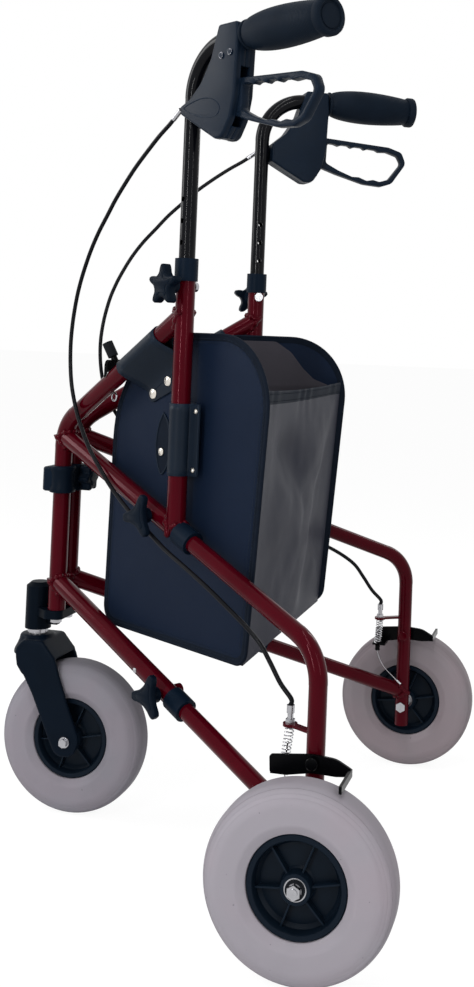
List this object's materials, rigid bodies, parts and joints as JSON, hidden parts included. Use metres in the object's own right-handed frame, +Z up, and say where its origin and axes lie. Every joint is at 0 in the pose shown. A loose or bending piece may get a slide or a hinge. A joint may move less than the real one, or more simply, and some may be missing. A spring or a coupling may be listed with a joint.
{
  "type": "three wheel rollator",
  "caption": "Folding walking aid with a swivelling front wheel, height-adjustable handles, loop brakes and a cloth shopping bag between its side frames.",
  "frame": {"origin": "on the floor under the middle of the bounding box", "axes": "+Z up, -Y forwards in the walking direction, +X to the user's left"},
  "size_m": [0.674, 0.568, 0.9665],
  "materials": {
    "frame_paint": "deep red gloss lacquer",
    "black_paint": "gloss black",
    "black_plastic": "satin black",
    "black_rubber": "soft black",
    "cable_sleeve": "satin black",
    "grey_tyre": "light grey",
    "zinc": "bright zinc",
    "navy_cloth": "woven navy",
    "grey_cloth": "woven grey"
  },
  "bodies": {
    "head": {"hinge_block": "black_plastic", "caster_housing": "black_plastic", "hinge_bolts": "zinc", "bag_gusset": "grey_cloth"},
    "left_frame": {"left_front_tube": "frame_paint", "left_post": "frame_paint", "left_upper_tube": "frame_paint", "left_lower_tube": "frame_paint", "left_rear_leg": "frame_paint", "left_lower_arm": "frame_paint", "left_tube_fittings": "black_plastic", "left_frame_bolts": "zinc", "left_cable_adjuster": "zinc", "left_brake_cable": "cable_sleeve", "left_brake_spring": "zinc", "left_bag_panel": "navy_cloth"},
    "left_handle": {"left_handle_tube": "black_paint", "left_grip": "black_rubber", "left_brake_housing": "black_plastic", "left_housing_fittings": "zinc"},
    "left_lever": {"left_brake_lever": "black_plastic"},
    "left_plate": {"left_brake_plate": "black_paint"},
    "left_wheel": {"left_tyre": "grey_tyre", "left_hub": "black_plastic", "left_bearings": "zinc"},
    "left_height_knob_body": {"left_height_knob": "black_plastic"},
    "left_upper_knob_body": {"left_upper_knob": "black_plastic"},
    "left_lower_knob_body": {"left_lower_knob": "black_plastic"},
    "right_frame": {"right_front_tube": "frame_paint", "right_post": "frame_paint", "right_upper_tube": "frame_paint", "right_lower_tube": "frame_paint", "right_rear_leg": "frame_paint", "right_lower_arm": "frame_paint", "right_tube_fittings": "black_plastic", "right_frame_bolts": "zinc", "right_cable_adjuster": "zinc", "right_brake_cable": "cable_sleeve", "right_brake_spring": "zinc", "right_bag_panel": "navy_cloth"},
    "right_handle": {"right_handle_tube": "black_paint", "right_grip": "black_rubber", "right_brake_housing": "black_plastic", "right_housing_fittings": "zinc"},
    "right_lever": {"right_brake_lever": "black_plastic"},
    "right_plate": {"right_brake_plate": "black_paint"},
    "right_wheel": {"right_tyre": "grey_tyre", "right_hub": "black_plastic", "right_bearings": "zinc"},
    "right_height_knob_body": {"right_height_knob": "black_plastic"},
    "right_upper_knob_body": {"right_upper_knob": "black_plastic"},
    "right_lower_knob_body": {"right_lower_knob": "black_plastic"},
    "locking_bar_body": {"locking_bar": "black_paint", "locking_bar_cap": "black_rubber"},
    "caster": {"caster_stem": "zinc", "caster_fork": "black_plastic", "front_axle": "zinc"},
    "front_wheel": {"front_tyre": "grey_tyre", "front_hub": "black_plastic", "front_bearings": "zinc"}
  },
  "joints": [
    {"name": "left_fold", "type": "hinge", "parent": "head", "child": "left_frame", "pos_m": [0.0156, -0.21554, 0.25], "axis": [0, 0, 1], "range_deg": [0, 26], "deforming": ["bag_gusset"]},
    {"name": "left_handle_height", "type": "slide", "parent": "left_frame", "child": "left_handle", "axis": [0, 0, 1], "range_m": [-0.125, 0.075], "deforming": ["left_brake_cable"]},
    {"name": "left_lever_squeeze", "type": "hinge", "parent": "left_handle", "child": "left_lever", "pos_m": [0.18036, 0.04942, 0.872], "axis": [0.8517, -0.524, 0], "range_deg": [0, 12], "stiffness_Nm_per_rad": 2, "springref_deg": -2.86},
    {"name": "left_brake_pivot", "type": "hinge", "parent": "left_frame", "child": "left_plate", "pos_m": [0.26449, 0.18904, 0.195], "axis": [-1, 0, 0], "range_deg": [0, 3.6], "deforming": ["left_brake_spring"]},
    {"name": "left_wheel_spin", "type": "hinge", "parent": "left_frame", "child": "left_wheel", "pos_m": [0.30849, 0.18904, 0.095], "axis": [1, 0, 0], "continuous": true},
    {"name": "left_height_knob_turn", "type": "hinge", "parent": "left_frame", "child": "left_height_knob_body", "pos_m": [0.13978, -0.01368, 0.666], "axis": [0.8517, -0.524, 0], "continuous": true},
    {"name": "left_upper_knob_turn", "type": "hinge", "parent": "left_frame", "child": "left_upper_knob_body", "pos_m": [0.12197, -0.04263, 0.40131], "axis": [0.8517, -0.524, 0], "continuous": true},
    {"name": "left_lower_knob_turn", "type": "hinge", "parent": "left_frame", "child": "left_lower_knob_body", "pos_m": [0.13821, -0.01623, 0.20448], "axis": [0.8517, -0.524, 0], "continuous": true},
    {"name": "right_fold", "type": "hinge", "parent": "head", "child": "right_frame", "pos_m": [-0.0156, -0.21554, 0.25], "axis": [0, 0, -1], "range_deg": [0, 26], "deforming": ["bag_gusset"]},
    {"name": "right_handle_height", "type": "slide", "parent": "right_frame", "child": "right_handle", "axis": [0, 0, 1], "range_m": [-0.125, 0.075], "deforming": ["right_brake_cable"]},
    {"name": "right_lever_squeeze", "type": "hinge", "parent": "right_handle", "child": "right_lever", "pos_m": [-0.18036, 0.04942, 0.872], "axis": [0.8517, 0.524, 0], "range_deg": [0, 12], "stiffness_Nm_per_rad": 2, "springref_deg": -2.86},
    {"name": "right_brake_pivot", "type": "hinge", "parent": "right_frame", "child": "right_plate", "pos_m": [-0.26449, 0.18904, 0.195], "axis": [-1, 0, 0], "range_deg": [0, 3.6], "deforming": ["right_brake_spring"]},
    {"name": "right_wheel_spin", "type": "hinge", "parent": "right_frame", "child": "right_wheel", "pos_m": [-0.30849, 0.18904, 0.095], "axis": [1, 0, 0], "continuous": true},
    {"name": "right_height_knob_turn", "type": "hinge", "parent": "right_frame", "child": "right_height_knob_body", "pos_m": [-0.13978, -0.01368, 0.666], "axis": [0.8517, 0.524, 0], "continuous": true},
    {"name": "right_upper_knob_turn", "type": "hinge", "parent": "right_frame", "child": "right_upper_knob_body", "pos_m": [-0.12197, -0.04263, 0.40131], "axis": [0.8517, 0.524, 0], "continuous": true},
    {"name": "right_lower_knob_turn", "type": "hinge", "parent": "right_frame", "child": "right_lower_knob_body", "pos_m": [-0.13821, -0.01623, 0.20448], "axis": [0.8517, 0.524, 0], "continuous": true},
    {"name": "locking_bar_lift", "type": "hinge", "parent": "right_frame", "child": "locking_bar_body", "pos_m": [-0.04738, -0.13462, 0.56749], "axis": [0, -1, 0], "range_deg": [0, 78]},
    {"name": "caster_swivel", "type": "hinge", "parent": "head", "child": "caster", "pos_m": [0, -0.24804, 0.22], "axis": [0, 0, 1], "continuous": true},
    {"name": "front_wheel_spin", "type": "hinge", "parent": "caster", "child": "front_wheel", "pos_m": [0, -0.18904, 0.095], "axis": [1, 0, 0], "continuous": true}
  ],
  "couplings": [
    {"joint": "left_brake_pivot", "follows": "left_lever_squeeze", "ratio": 0.3},
    {"joint": "right_brake_pivot", "follows": "right_lever_squeeze", "ratio": 0.3},
    {"joint": "right_fold", "follows": "left_fold", "ratio": 1},
    {"joint": "locking_bar_lift", "follows": "left_fold", "ratio": 3}
  ]
}
